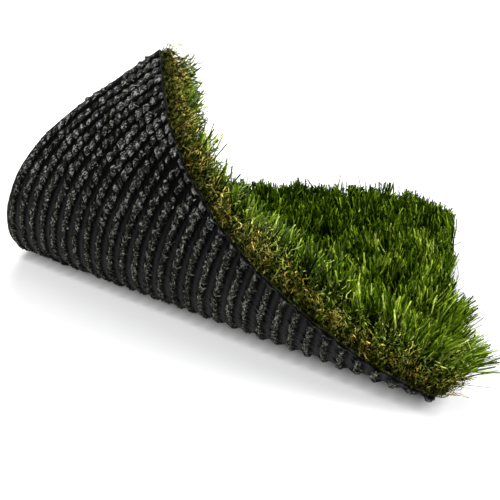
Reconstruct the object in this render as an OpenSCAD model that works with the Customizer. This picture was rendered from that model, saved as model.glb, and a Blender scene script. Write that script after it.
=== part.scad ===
// A square sample of tufted artificial turf lying pile up, with one corner
// curled up and back over a slanting fold so that its coated back shows.
//
// The sheet is first thought of as flat. A place on it is (u, v, h):
//   u  runs across the stitch rows, from the near right corner to the left,
//   v  runs along the rows, from the near edge to the far edge,
//   h  is the height above the coated underside, between the stitch rows.
// laid(u, v, h) puts that place on the floor or on the curl.
// Everything else is drawn flat and passed through it.

/* [Sheet] */
// Width of the cut sheet, across the stitch rows
sheet_w = 300; // [220:10:340]
// Length of the cut sheet, along the stitch rows
sheet_l = 300; // [260:10:400]
// Thickness of the woven backing cloth
backing_t = 1.2; // [0.8:0.1:3]
// Thickness of the latex coat under it
coat_t = 1; // [0.5:0.1:2]

/* [Back stitches] */
// Gauge: distance from one stitch row to the next
row_gauge = 9.7; // [8:0.1:13]
// Distance of the first row from the right edge
first_row = 3.2; // [3:0.1:6]
// Width of one coated row of back stitches where it leaves the sheet
row_w = 5.2; // [3:0.1:5.8]
// Width of the crest that a row rests on
crest_w = 2.4; // [1:0.1:2.8]
// Height of a coated row under the sheet
row_h = 2.2; // [1:0.1:3.5]

/* [Pile] */
// Height of the pile above the backing
pile_h = 38; // [20:1:45]
// How far the pile tips lean out past the right edge, at its near end
splay_right = 26; // [4:1:32]
// How far they lean out past the right edge, at its far end
splay_right_far = 4; // [2:1:24]
// How far they lean out past the far edge
splay_far = 7; // [2:1:24]
// How far they lean out past the near edge and the curled left edge
splay_near = 4; // [1:1:12]
// How much further they lean out to the right at the far right corner
splay_corner = 3; // [0:1:14]
// Width of the band inside each edge in which the pile leans out
splay_band = 40; // [20:1:80]
// How far inside the cut edge the outermost yarn stands, half way up
edge_inset = 2; // [0:0.5:4]
// How much lower the pile is at its right, near and curled left edges
edge_drop = 4; // [0:1:12]
// How much lower it is at the far right corner, as a share of its height
corner_fall = 0.45; // [0:0.05:0.6]
// Height of the waves of taller and shorter pile
pile_wave = 1.6; // [0:0.2:3]

/* [Curl] */
// Angle between the fold line and the near edge, in degrees
fold_angle = 36.8; // [30:1:45]
// How far outside the near right corner the fold line passes
fold_outside = 30.8; // [0:1:40]
// Bend radius at the fold line
radius_fold = 43; // [42:1:70]
// Bend radius a fifth of the way up the curl
radius_1 = 80; // [60:1:120]
// Bend radius two fifths of the way up
radius_2 = 94; // [60:1:130]
// Bend radius three fifths of the way up, where the sheet turns over
radius_3 = 60; // [50:1:100]
// Bend radius four fifths of the way up
radius_4 = 141; // [100:1:300]
// Radius of the slight reverse bend at the raised corner
radius_tip = 270; // [150:1:600]
// How much the bend lines fan out towards the raised corner
tip_fan = 0.43; // [0:0.05:0.6]

/* [Hidden] */

// Steps of the grid along a row: over the curl, and as shares of the flat part.
curl_steps = 18;
flat_shares = [0.5, 0.93, 1];
// Steps in which the curl is walked from the fold line to the corner.
walk_steps = 60;
solve_steps = 8;
// The walk goes this far past the corner, for pile that leans past it.
walk_past = 30;
// Share of the sheet's width at which the fold line's middle lies.
pivot_share = 0.75;
// Shares of the sheet's length between which the fold line crosses a row.
fold_nearest = 0.05;
fold_farthest = 0.95;
// Share of a bend's radius that the pile inside it may fill, and how sharply it gives way.
squeeze = 0.72;
press_sharpness = 4;
flattest_bend = 0.0001;
// The pile feels a bend this far to either side of it.
bend_reach = 16;
// Width of the rounded shoulder along the cut edges, and of the one at the far right corner.
shoulder_band = 22;
corner_band = 55;
// Height of the waist of the pile's sides, as a share of the pile's height.
waist_share = 0.5;
// Lengths of the two slanting waves in the pile's height, and their slants.
wave_long = 74;
wave_short = 47;
long_slant = 0.4;
short_slant = -0.3;

sheet_t = coat_t + backing_t;
row_count = floor((sheet_w - 2 * first_row) / row_gauge) + 1;
row_at = [for (k = [0:row_count - 1]) first_row + k * row_gauge];

// The curl.
ca = cos(fold_angle);
sa = sin(fold_angle);
curl_len = sheet_w * sa + fold_outside;
walk_len = curl_len + walk_past;
walk_ds = walk_len / walk_steps;
// Point of the fold line from which the bend lines are measured.
pivot = pivot_share * sheet_w;
// Bend rate at even steps from the fold line to the corner; the last one bends back.
rates = [1 / radius_fold, 1 / radius_1, 1 / radius_2, 1 / radius_3, 1 / radius_4, -1 / radius_tip];
bends = [for (i = [0:len(rates) - 1]) [i * curl_len / (len(rates) - 1), rates[i]]];
function bend(s) = lookup(s, bends);
function fan(s) = -tip_fan * pow(s / walk_len, 2);
function fan_slope(s) = -2 * tip_fan * s / pow(walk_len, 2);

// Turn vector a about unit vector w by an angle.
function turned(a, w, angle) =
    a * cos(angle) + cross(w, a) * sin(angle) + w * (w * a) * (1 - cos(angle));

// A frame is [place, direction of travel, pile-side normal, bend line].
function next_frame(f, s) =
    let (
        w = bend(s) * (f[3] + fan(s) * f[1]),
        rate = norm(w),
        angle = rate * walk_ds * 180 / PI,
        axis = rate > 0 ? w / rate : [1, 0, 0],
        t = turned(f[1], axis, angle)
    )
    [f[0] + (f[1] + t) / 2 * walk_ds, t, turned(f[2], axis, angle), turned(f[3], axis, angle)];
frames = [
    for (i = 0, f = [[0, 0, 0], [0, 1, 0], [0, 0, 1], [1, 0, 0]];
         i <= walk_steps;
         f = next_frame(f, (i + 0.5) * walk_ds), i = i + 1)
        f
];
function frame_at(s) =
    let (
        i = min(floor(s / walk_ds), walk_steps - 1),
        part = s / walk_ds - i
    )
    frames[i] * (1 - part) + frames[i + 1] * part;

// Which bend line passes through a place: e along the fold, d beyond it.
function bend_line(d, e, s, left) =
    left == 0 ? s :
    let (better = s - (s + e * fan(s) - d) / (1 + e * fan_slope(s)))
    bend_line(d, e, min(max(better, 0), walk_len), left - 1);

function beyond_fold(u, v) = u * sa - v * ca + fold_outside;

// Place (u, v, h) of the flat sheet, in the curl's own directions:
// x along the fold line, y away from the flat part, z up.
function curled(u, v, h) =
    let (
        d = beyond_fold(u, v),
        e = u * ca + v * sa - pivot
    )
    d <= 0 ? [e, d, h] :
    let (
        s = bend_line(d, e, min(d, walk_len), solve_steps),
        f = frame_at(s)
    )
    f[0] + (d - s) * f[1] + e * f[3] + h * f[2];

// The same place with the sheet's near edge along X and its rows along Y.
function laid(u, v, h) =
    let (p = curled(u, v, h))
    [-ca * p[0] - sa * p[1], sa * p[0] - ca * p[1], p[2] + row_h];

// The grid.
// The stops along a row: even steps over the curl, then the shares of the flat part.
function fold_v(u) =
    min(max((u * sa + fold_outside) / ca, fold_nearest * sheet_l), fold_farthest * sheet_l);
function grid_v(u) = [
    for (j = [0:curl_steps]) fold_v(u) * j / curl_steps,
    for (share = flat_shares) fold_v(u) + (sheet_l - fold_v(u)) * share
];
// Lines along the rows: one in each gap between two rows, and the two edges.
columns = [0, for (k = [1:row_count - 1]) (row_at[k - 1] + row_at[k]) / 2, sheet_w];
stops = curl_steps + 1 + len(flat_shares);
// Lines of the coated underside: each row has a foot, a crest, a crest and a foot.
across_row = [[-row_w / 2, 0], [-crest_w / 2, -row_h], [crest_w / 2, -row_h], [row_w / 2, 0]];
per_row = len(across_row) + 1;
coat_lines = [
    for (k = [0:row_count - 1]) each [
        [columns[k], 0],
        for (c = across_row) [row_at[k] + c[0], c[1]]
    ],
    [sheet_w, 0]
];

// The pile's height and lean.
function near_bend(d) =
    (bend(max(d - bend_reach, 0)) + 2 * bend(max(d, 0)) + bend(d + bend_reach)) / 4
    * min(max((d + bend_reach) / (2 * bend_reach), 0), 1);
// The pile is pressed shorter where the bend is too tight to hold it.
function pressed(h, d) =
    let (k = max(near_bend(d), flattest_bend))
    pow(pow(h, -press_sharpness) + pow(squeeze / k, -press_sharpness), -1 / press_sharpness);
function wave(u, v) =
    pile_wave / 2 * (sin(360 * (u + long_slant * v) / wave_long)
        + sin(360 * (v + short_slant * u) / wave_short));
// 1 at an edge, falling to 0 at the inner side of a band along it.
function nearness(from_edge, band) = pow(max(1 - from_edge / band, 0), 2);
// 1 at the start of an edge, -1 at its end, and 0 between them.
function inward(x, size) = x <= 0 ? 1 : x >= size ? -1 : 0;
// A place in the pile, at a share of its height: the yarn first rises, then leans out.
function in_pile(u, v, share) =
    let (
        corner = nearness(u, corner_band) * nearness(sheet_l - v, corner_band),
        splay = splay_right_far + (splay_right - splay_right_far) * pow(1 - v / sheet_l, 2),
        right = splay * nearness(u, splay_band) + splay_corner * corner,
        left = splay_near * nearness(sheet_w - u, splay_band),
        far = splay_far * nearness(sheet_l - v, splay_band),
        near = splay_near * nearness(v, splay_band),
        shoulders = nearness(u, shoulder_band) + nearness(sheet_w - u, shoulder_band)
            + nearness(v, shoulder_band),
        tall = (pile_h + wave(u, v)) * (1 - corner_fall * corner) - edge_drop * shoulders,
        drop = (pow(right, 2) + pow(left, 2) + pow(far, 2) + pow(near, 2)) / (2 * tall),
        out = pow(share, 2),
        inset = 4 * share * (1 - share) * edge_inset
    )
    laid(
        u + (left - right) * out + inward(u, sheet_w) * inset,
        v + (far - near) * out + inward(v, sheet_l) * inset,
        sheet_t + share * pressed(tall - drop, beyond_fold(u, v))
    );

// The surfaces, as lines of points.
function face_at(h) = [for (u = columns) [for (v = grid_v(u)) laid(u, v, h)]];
coat_back = [for (c = coat_lines) [for (v = grid_v(c[0])) laid(c[0], v, c[1])]];
cloth_back = face_at(coat_t);
cloth_face = face_at(sheet_t);
tips = [for (u = columns) [for (v = grid_v(u)) in_pile(u, v, 1)]];

// The origin is on the floor under the middle of the whole sample.
outer = [for (grid = [coat_back, cloth_face, tips]) each [for (line = grid) each line]];
low = [for (a = [0:1]) min([for (p = outer) p[a]])];
high = [for (a = [0:1]) max([for (p = outer) p[a]])];
middle = [(low[0] + high[0]) / 2, (low[1] + high[1]) / 2, 0];

// Closed solids are made from those surfaces.
// Triangles over a surface of so many lines, from its first point's number.
function skin(lines, first, up) = [
    for (i = [0:lines - 2], j = [0:stops - 2])
        let (a = first + i * stops + j, b = a + stops)
        each up ? [[a, b, b + 1], [a, b + 1, a + 1]] : [[a, b + 1, b], [a, a + 1, b + 1]]
];
// A wall between a lower and an upper chain of point numbers.
function wall(lower, upper) = [
    for (k = [0:len(lower) - 2])
        each [[lower[k], lower[k + 1], upper[k + 1]], [lower[k], upper[k + 1], upper[k]]]
];
// The point numbers along a line, from its near end to its far end.
function along(line, first) = [for (j = [0:stops - 1]) first + line * stops + j];
function backwards(chain) = [for (k = [len(chain) - 1:-1:0]) chain[k]];
// The point numbers round a surface's outline, back to its first point.
function outline(lines, first) = [
    for (i = [0:lines - 1]) first + i * stops,
    for (j = [1:stops - 1]) first + (lines - 1) * stops + j,
    for (i = [lines - 2:-1:0]) first + i * stops + stops - 1,
    for (j = [stops - 2:-1:0]) first + j
];
// The walls of the two side edges.
function side_walls(lower_lines, upper_lines, upper_first) = concat(
    wall(along(lower_lines - 1, 0), along(upper_lines - 1, upper_first)),
    wall(backwards(along(0, 0)), backwards(along(0, upper_first)))
);

// A layer between two surfaces that have the same lines. Its sides pass through a waist,
// a closed chain of points round the layer, where one is given.
module layer(lower, upper, waist = []) {
    lines = len(lower);
    first = lines * stops;
    feet = outline(lines, 0);
    heads = outline(lines, first);
    ring = [for (k = [0:len(feet) - 1]) 2 * first + k % (len(feet) - 1)];
    polyhedron(
        points = concat([for (grid = [lower, upper]) each [for (line = grid) each line]], waist),
        faces = concat(
            skin(lines, 0, false),
            skin(lines, first, true),
            len(waist) == 0 ? wall(feet, heads) : concat(wall(feet, ring), wall(ring, heads))
        )
    );
}

// The end of one coated row: the sheet's thickness, and the ridge below it.
function row_end(k, j, first, near) =
    let (
        p = [for (c = [0:per_row]) (k * per_row + c) * stops + j],
        q = [first + k * stops + j, first + (k + 1) * stops + j],
        near_end = [
            [p[0], p[1], q[0]], [p[1], q[1], q[0]], [p[1], p[4], q[1]], [p[4], p[5], q[1]],
            [p[1], p[2], p[3]], [p[1], p[3], p[4]]
        ]
    )
    near ? near_end : [for (t = near_end) [t[2], t[1], t[0]]];

module backing() {
    color([0.13, 0.13, 0.13])
        translate(-middle)
            layer(cloth_back, cloth_face);
}

// The latex coat, which follows the sheet and covers the rows of back stitches.
module coated_stitches() {
    lines = len(coat_lines);
    first = lines * stops;
    color([0.19, 0.20, 0.16])
        translate(-middle)
            polyhedron(
                points = [for (grid = [coat_back, cloth_back]) each [for (line = grid) each line]],
                faces = concat(
                    skin(lines, 0, false),
                    skin(len(columns), first, true),
                    side_walls(lines, len(columns), first),
                    [for (k = [0:row_count - 1]) each concat(
                        row_end(k, 0, first, true),
                        row_end(k, stops - 1, first, false)
                    )]
                )
            );
}

// The sides of the pile have a waist, because the outermost yarn bends outwards as it rises.
module pile() {
    places = [for (u = columns) each [for (v = grid_v(u)) [u, v]]];
    round_it = outline(len(columns), 0);
    waist = [
        for (k = [0:len(round_it) - 2])
            let (p = places[round_it[k]])
            in_pile(p[0], p[1], waist_share)
    ];
    color([0.33, 0.47, 0.14])
        translate(-middle)
            layer(cloth_face, tips, waist);
}

backing();
coated_stitches();
pile();
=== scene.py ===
# %% [markdown]
# # A curled square of tufted turf
#
# The object is a square sample of artificial turf. It lies pile up, and one corner has been
# curled up and back over a slanting fold, so that the black coated back shows with its rows
# of back stitches. This lesson builds it as the maker does: first the cloth, then the
# stitched and coated back, then the pile, all lying flat. The last step of each piece
# carries it onto the curl.

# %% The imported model
import math

import bpy
import numpy as np
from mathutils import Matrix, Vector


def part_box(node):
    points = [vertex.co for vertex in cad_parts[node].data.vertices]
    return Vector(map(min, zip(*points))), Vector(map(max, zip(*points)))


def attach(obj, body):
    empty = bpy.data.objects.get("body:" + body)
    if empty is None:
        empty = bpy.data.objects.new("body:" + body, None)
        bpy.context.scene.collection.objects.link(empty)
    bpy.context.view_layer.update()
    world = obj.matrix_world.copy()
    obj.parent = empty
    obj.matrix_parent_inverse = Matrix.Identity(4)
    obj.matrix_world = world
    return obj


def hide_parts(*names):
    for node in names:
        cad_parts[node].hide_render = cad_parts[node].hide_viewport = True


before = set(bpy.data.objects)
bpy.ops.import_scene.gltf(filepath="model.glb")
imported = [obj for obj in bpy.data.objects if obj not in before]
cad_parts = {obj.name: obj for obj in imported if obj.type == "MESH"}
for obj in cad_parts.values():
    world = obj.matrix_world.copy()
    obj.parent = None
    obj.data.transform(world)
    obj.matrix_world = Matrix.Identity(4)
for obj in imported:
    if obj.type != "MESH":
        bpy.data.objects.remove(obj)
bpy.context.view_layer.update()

# %% [markdown]
# ## The sheet's sizes
#
# These are the sizes of the cut sheet, in metres. A place on the flat sheet is (u, v, h):
# u runs across the stitch rows from the right edge, v along the rows from the near edge,
# and h upwards from the coated underside. The far right corner of the cloth lies flat, so
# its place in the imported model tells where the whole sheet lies.

# %% Sizes
SHEET = 0.300  # side of the cut square
COAT = 0.0010  # latex coat between the stitch rows
CLOTH = 0.0012  # woven backing
FACE = COAT + CLOTH  # upper side of the cloth, where the pile starts
SUNK = 0.0003  # how deep a strand's foot stands in the cloth
GAUGE = 0.0097  # from one stitch row to the next
FIRST_ROW = 0.0032  # from the right edge
ROWS = 31
ROW_WIDTH = 0.0052
ROW_HEIGHT = 0.0022
STITCHES = 52  # in one row
STITCH = SHEET / STITCHES
PILE = 0.041  # length of a blade before it leans

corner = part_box("backing")[1]
print("stitch rows:", ROWS, "stitches in a row:", STITCHES)
print("far right corner:", tuple(round(x, 4) for x in corner))

# %% [markdown]
# ## The curl
#
# A sheet that bends without stretching is straight along some line at every place. Here
# those lines start parallel to the fold and fan out a little towards the raised corner. The
# curl is found by walking away from the fold line in small steps and turning a frame of
# three directions (onwards, up out of the pile side, along the bend line) at each step. A
# Simple Deform modifier bends about one straight axis only, so a short function does it
# here, and each finished flat piece is passed through it.

# %% The fold and its bends
FOLD_ANGLE = math.radians(36.8)  # between the fold line and the near edge
FOLD_OUTSIDE = 0.0308  # how far outside the near right corner the fold line passes
PIVOT = 0.75 * SHEET  # place on the fold line from which the bend lines are measured
FAN = 0.43  # how much they fan out by the end of the walk
CA, SA = math.cos(FOLD_ANGLE), math.sin(FOLD_ANGLE)
CURL = SHEET * SA + FOLD_OUTSIDE  # from the fold line to the raised corner
WALK = CURL + 0.030  # the walk goes on, for pile that leans past the corner
STEPS = 240
# Bend rates at even steps up the curl, one over the radius. The last one bends back.
RATES = [1 / 0.043, 1 / 0.080, 1 / 0.094, 1 / 0.060, 1 / 0.141, -1 / 0.270]


def bend_rate(s):
    return np.interp(s, np.linspace(0, CURL, len(RATES)), RATES)


def fan(s):
    return -FAN * (s / WALK) ** 2


def turned(a, axis, angle):
    level = axis * (axis @ a) * (1 - math.cos(angle))
    return a * math.cos(angle) + np.cross(axis, a) * math.sin(angle) + level


print("tightest radius:", round(1000 / max(RATES)), "mm")

# %% Walking the curl
walk_at = np.linspace(0, WALK, STEPS + 1)
walk_step = WALK / STEPS
place = np.zeros(3)
onward, up, line = np.array([0.0, 1, 0]), np.array([0.0, 0, 1]), np.array([1.0, 0, 0])
walked = [np.concatenate([place, onward, up, line])]
for s in walk_at[:-1] + walk_step / 2:
    turn = bend_rate(s) * (line + fan(s) * onward)
    rate = np.linalg.norm(turn)
    before = onward
    onward, up, line = (turned(a, turn / rate, rate * walk_step) for a in (onward, up, line))
    place = place + (before + onward) / 2 * walk_step
    walked.append(np.concatenate([place, onward, up, line]))
walked = np.array(walked)
print("curl walked, metres:", round(WALK, 3), "and its end's height:", round(walked[-1][2], 3))


# %% Carrying flat pieces onto the curl
def flat_uvh(points):
    u, v = corner.x - points[:, 0], SHEET - (corner.y - points[:, 1])
    return u, v, points[:, 2] - ROW_HEIGHT


def flat_points(u, v, h):
    return np.stack([corner.x - u, corner.y - SHEET + v, h + ROW_HEIGHT], axis=-1)


def beyond_fold(u, v):
    """How far a place lies past the fold line; below 0 it is on the flat part."""
    return u * SA - v * CA + FOLD_OUTSIDE


def ramp(x, start, length):
    """0 until start, then evenly up to 1 over a length."""
    return np.clip((x - start) / length, 0, 1)


def curled(points):
    u, v, h = flat_uvh(points)
    d, e = beyond_fold(u, v), u * CA + v * SA - PIVOT
    s = np.clip(d, 0, WALK)
    for _ in range(8):  # Newton's steps to the bend line that passes through the place
        slope = 1 - 2 * FAN * s / WALK**2 * e
        s = np.clip(s - (s + e * fan(s) - d) / slope, 0, WALK)
    at = np.stack([np.interp(s, walk_at, walked[:, k]) for k in range(12)], axis=1)
    p = at[:, 0:3] + (d - s)[:, None] * at[:, 3:6] + h[:, None] * at[:, 6:9] + e[:, None] * at[:, 9:12]
    x = -CA * p[:, 0] - SA * p[:, 1] + corner.x - CA * PIVOT + SA * FOLD_OUTSIDE
    y = SA * p[:, 0] - CA * p[:, 1] + corner.y - SHEET + SA * PIVOT + CA * FOLD_OUTSIDE
    return np.where((d <= 0)[:, None], points, np.stack([x, y, p[:, 2] + ROW_HEIGHT], axis=1))


def vertices_of(piece):
    points = np.empty(len(piece.data.vertices) * 3)
    piece.data.vertices.foreach_get("co", points)
    return points.reshape(-1, 3)


def move_vertices(piece, points):
    piece.data.vertices.foreach_set("co", points.ravel())
    piece.data.update()


# %% [markdown]
# ## Helpers at the bench
#
# A Blender operator acts on all that is selected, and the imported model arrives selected, so
# each step starts by clearing the selection. Faces and edges are then picked in code, by
# where they are.

# %% Selection helpers
def turn_to(mode):
    bpy.ops.object.mode_set(mode=mode)


def clear_selection():
    if bpy.context.object and bpy.context.object.mode != "OBJECT":
        turn_to("OBJECT")
    bpy.ops.object.select_all(action="DESELECT")


def select_only(piece):
    clear_selection()
    piece.select_set(True)
    bpy.context.view_layer.objects.active = piece


def pick(piece, chosen, kind="VERT"):
    """Leaves the piece in edit mode with the parts selected that the rule chooses."""
    select_only(piece)
    turn_to("EDIT")
    bpy.ops.mesh.select_mode(type=kind)
    bpy.ops.mesh.select_all(action="DESELECT")
    turn_to("OBJECT")
    mesh = piece.data
    for part in {"VERT": mesh.vertices, "EDGE": mesh.edges, "FACE": mesh.polygons}[kind]:
        part.select = bool(chosen(part))
    turn_to("EDIT")


# %% Helpers for a finished piece
def named(name):
    piece = bpy.context.object
    piece.name = piece.data.name = name
    return piece


def finish_transforms(piece):
    select_only(piece)
    bpy.ops.object.transform_apply(location=True, rotation=True, scale=True)


def smooth(piece, degrees):
    select_only(piece)
    bpy.ops.object.shade_smooth_by_angle(angle=math.radians(degrees))


def triangles(piece):
    return sum(len(f.vertices) - 2 for f in piece.data.polygons)


def write_on(mesh, label, values):
    """Gives each vertex a value that a material can read by its label."""
    layer = mesh.attributes.new(label, "FLOAT", "POINT")
    layer.data.foreach_set("value", values.astype(np.float32))


def hand_in(piece, material, node):
    piece.data.materials.append(material)
    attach(piece, "root")
    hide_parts(node)


# %% [markdown]
# ## Shared effects of the finishes
#
# Two effects serve several materials, so each is a node group with named inputs. *Yarn
# shade* picks a strand's colour: a dark, a middle and a light colour by the strand's own
# tone, drifting a little from place to place as dyed yarn does, with painted shade at its
# root and a painted highlight at its tip, and broken into bits of painted light and shade.
# *Fine grain* gives the small bumps and the mottling of latex and cloth.

# %% Node group helper
def new_group(name, inputs, outputs):
    """The group, what it is given (outputs to link from) and the node that takes what it makes."""
    group = bpy.data.node_groups.new(name, "ShaderNodeTree")
    for side, sockets in (("INPUT", inputs), ("OUTPUT", outputs)):
        for label, kind, *value in sockets:
            socket = group.interface.new_socket(name=label, in_out=side, socket_type="NodeSocket" + kind)
            if value:
                socket.default_value = value[0]
    return group, group.nodes.new("NodeGroupInput").outputs, group.nodes.new("NodeGroupOutput")


# %% Node helpers
def feed_socket(tree, socket, value):
    """Gives a socket a number, a colour or another node's output."""
    if isinstance(value, (int, float)):
        socket.default_value = value
    elif isinstance(value, tuple):
        socket.default_value = (*value, 1)
    else:
        tree.links.new(value, socket)


def feed(tree, node, **values):
    """Feeds a node's inputs by name, with _ where the name has a space."""
    for label, value in values.items():
        feed_socket(tree, node.inputs[label.replace("_", " ")], value)


def add_math(tree, operation, *values):
    node = tree.nodes.new("ShaderNodeMath")
    node.operation = operation
    for k, value in enumerate(values):
        feed_socket(tree, node.inputs[k], value)
    return node.outputs[0]


def product(tree, first, second):
    return add_math(tree, "MULTIPLY", first, second)


def stretched(tree, value, factor, offset):
    return add_math(tree, "MULTIPLY_ADD", value, factor, offset)


def above(tree, value, level):
    return add_math(tree, "GREATER_THAN", value, level)


def held_between(tree, value, low, high):
    return add_math(tree, "MINIMUM", add_math(tree, "MAXIMUM", value, low), high)


def add_mix(tree, share, first, second, blend="MIX"):
    node = tree.nodes.new("ShaderNodeMix")
    node.data_type, node.blend_type, node.clamp_factor = "RGBA", blend, True
    for label, value in (("Factor_Float", share), ("A_Color", first), ("B_Color", second)):
        feed_socket(tree, next(x for x in node.inputs if x.identifier == label), value)
    return next(x for x in node.outputs if x.identifier == "Result_Color")


def add_noise(tree, where, scale, detail, rough=0.5):
    node = tree.nodes.new("ShaderNodeTexNoise")
    feed(tree, node, Scale=scale, Detail=detail, Roughness=rough, Vector=where)
    return node.outputs["Fac"]


# %% Yarn shade: the colour of a strand
yarn_shade, given, made = new_group(
    "yarn shade",
    [
        ("Tone", "Float", 0.5),
        ("Along", "Float", 0.5),
        ("Place", "Vector", (0, 0, 0)),
        ("Dark", "Color", (0.01, 0.02, 0.005, 1)),
        ("Middle", "Color", (0.05, 0.1, 0.01, 1)),
        ("Light", "Color", (0.1, 0.2, 0.02, 1)),
        ("Foot", "Float", 0.0),
        ("Root", "Float", 0.4),
        ("Tip", "Float", 1.1),
        ("Broken", "Float", 0.0),
    ],
    [("Color", "Color"), ("Shine", "Float")],
)
tree, strand_at = yarn_shade, given["Place"]
drift = add_math(tree, "SUBTRACT", add_noise(tree, strand_at, 22, 2), 0.5)
toned = stretched(tree, drift, 0.7, given["Tone"])
low_share = product(tree, toned, 2)
high_share = add_math(tree, "SUBTRACT", low_share, 1)
shade = add_mix(tree, low_share, given["Dark"], given["Middle"])
shade = add_mix(tree, high_share, shade, given["Light"])

# %% Yarn shade: painted shade at the root, a painted highlight at the tip, and bits of painted light and shade
# From Foot up the strand, the colour rises from painted shade at the root to a painted highlight at the
# tip.
rise = tree.nodes.new("ShaderNodeMapRange")
rise.interpolation_type = "SMOOTHSTEP"
feed(
    tree, rise, Value=given["Along"], From_Min=given["Foot"],
    To_Min=given["Root"], To_Max=given["Tip"],
)
# Noise breaks the strand into bits of painted light and painted shade.
painted_light_bits = stretched(tree, add_noise(tree, strand_at, 460, 1), 6, -3.4)
painted_light_bits = stretched(tree, held_between(tree, painted_light_bits, -0.85, 0.5), given["Broken"], 1)
# The colour is scaled by the painted shade, highlight and bits.
lit = tree.nodes.new("ShaderNodeVectorMath")
lit.operation = "SCALE"
tree.links.new(shade, lit.inputs[0])
feed(tree, lit, Scale=product(tree, rise.outputs["Result"], painted_light_bits))
shine = stretched(tree, add_noise(tree, strand_at, 700, 1), 0.25, 0.32)
feed(tree, made, Color=lit.outputs["Vector"], Shine=shine)
print("yarn shade:", len(tree.nodes), "nodes")

# %% Fine grain
fine_grain, given, made = new_group(
    "fine grain",
    [
        ("Place", "Vector", (0, 0, 0)),
        ("Scale", "Float", 400.0),
        ("Mottle", "Float", 0.5),
    ],
    [("Height", "Float"), ("Mottle", "Float")],
)
tree = fine_grain
grains = add_noise(tree, given["Place"], given["Scale"], 4, 0.65)
blotches = add_noise(tree, given["Place"], 60, 3)
swing = product(tree, add_math(tree, "SUBTRACT", blotches, 0.5), given["Mottle"])
feed(tree, made, Height=grains, Mottle=add_math(tree, "ADD", swing, 1.0))
print("fine grain:", len(tree.nodes), "nodes")


# %% Material helpers
def new_material(name):
    material = bpy.data.materials.new(name)
    material.use_nodes = True
    tree = material.node_tree
    where = tree.nodes.new("ShaderNodeTexCoord").outputs["Object"]
    return material, tree, tree.nodes["Principled BSDF"], where


def use_group(tree, group, **values):
    node = tree.nodes.new("ShaderNodeGroup")
    node.node_tree = group
    feed(tree, node, **values)
    return node


def attribute(tree, name):
    node = tree.nodes.new("ShaderNodeAttribute")
    node.attribute_name = name
    return node.outputs["Fac"]


def add_bump(tree, shader, height, strength, distance):
    bump = tree.nodes.new("ShaderNodeBump")
    feed(tree, bump, Height=height, Strength=strength, Distance=distance)
    feed(tree, shader, Normal=bump.outputs["Normal"])


def yarn_material(name, dark, middle, light, foot, root, tip, broken, rib):
    """foot: where the painted shade at the root ends; root, tip: painted brightness there, a painted shade
    at the root and a painted highlight at the tip; rib: fineness of the ribs.
    """
    material, tree, shader, where = new_material(name)
    node = use_group(
        tree, yarn_shade, Tone=attribute(tree, "tone"), Along=attribute(tree, "along"), Place=where,
        Dark=dark, Middle=middle, Light=light, Foot=foot, Root=root, Tip=tip, Broken=broken,
    )
    feed(
        tree, shader, Base_Color=node.outputs["Color"], Roughness=node.outputs["Shine"],
        Specular_IOR_Level=0.02, Specular_Tint=(0.45, 0.55, 0.12),
    )
    add_bump(tree, shader, add_noise(tree, where, rib, 2), 0.25, 0.0002)
    return material


# %% [markdown]
# ## The backing cloth
#
# The yarn is tufted through a black woven cloth, 1.2 mm thick, which is then cut square
# with a knife. Between the coat and the pile only its cut edge shows. A grid gets its
# thickness from Solidify, the rim is nudged by a fraction of a millimetre for the knife's
# wander, and the sheet is then carried onto the curl. A cloth simulation isn't needed,
# because the curl is a shape that a cloth takes without stretching.

# %% Knife cut
AT_EDGE = 1e-5
CUT_IN = 0.0004  # how far inside its nominal line the knife runs
WANDER = [(0.00022, 61, 0.0), (0.00018, 173, 1.3), (0.00009, 610, 0.4)]


def knife_wander(at):
    """How far the cut strays from its straight line, in metres, at places along it."""
    return sum(reach * np.sin(at * rate + start) for reach, rate, start in WANDER)


def with_cut_edges(u, v):
    for at_edge, sign in ((u < AT_EDGE, 1), (u > SHEET - AT_EDGE, -1)):
        u = np.where(at_edge, u + sign * (CUT_IN + knife_wander(v)), u)
    for at_edge, sign in ((v < AT_EDGE, 1), (v > SHEET - AT_EDGE, -1)):
        v = np.where(at_edge, v + sign * (CUT_IN + knife_wander(u)), v)
    return u, v


def edge_distance(u, v):
    return np.minimum(np.minimum(u, SHEET - u), np.minimum(v, SHEET - v))


# %% Backing cloth
CELLS = 52


def sheet_grid(name, across, along, h):
    """A flat grid of the sheet's size, h above its coated underside, with a UV map."""
    clear_selection()
    bpy.ops.mesh.primitive_grid_add(
        x_subdivisions=across, y_subdivisions=along, size=SHEET,
        location=(corner.x - SHEET / 2, corner.y - SHEET / 2, ROW_HEIGHT + h),
    )
    piece = named(name)
    finish_transforms(piece)
    return piece


backing_sheet = sheet_grid("backing_sheet", CELLS, CELLS, FACE)
thickness = backing_sheet.modifiers.new("thickness", "SOLIDIFY")
thickness.thickness, thickness.offset = CLOTH, -1
bpy.ops.object.modifier_apply(modifier="thickness")
u, v, h = flat_uvh(vertices_of(backing_sheet))
move_vertices(backing_sheet, curled(flat_points(*with_cut_edges(u, v), h)))
write_on(backing_sheet.data, "cut", edge_distance(u, v) < 1e-4)
smooth(backing_sheet, 40)
print("backing cloth:", triangles(backing_sheet), "triangles")

# %% [markdown]
# ## The finish of the cloth
#
# The weave comes from two crossed waves on the sheet's own UV map, which follows the curl.
# At the cut edge the ends of green and straw yarn show between the black threads, so the
# attribute *cut* lets them in only there.

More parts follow.
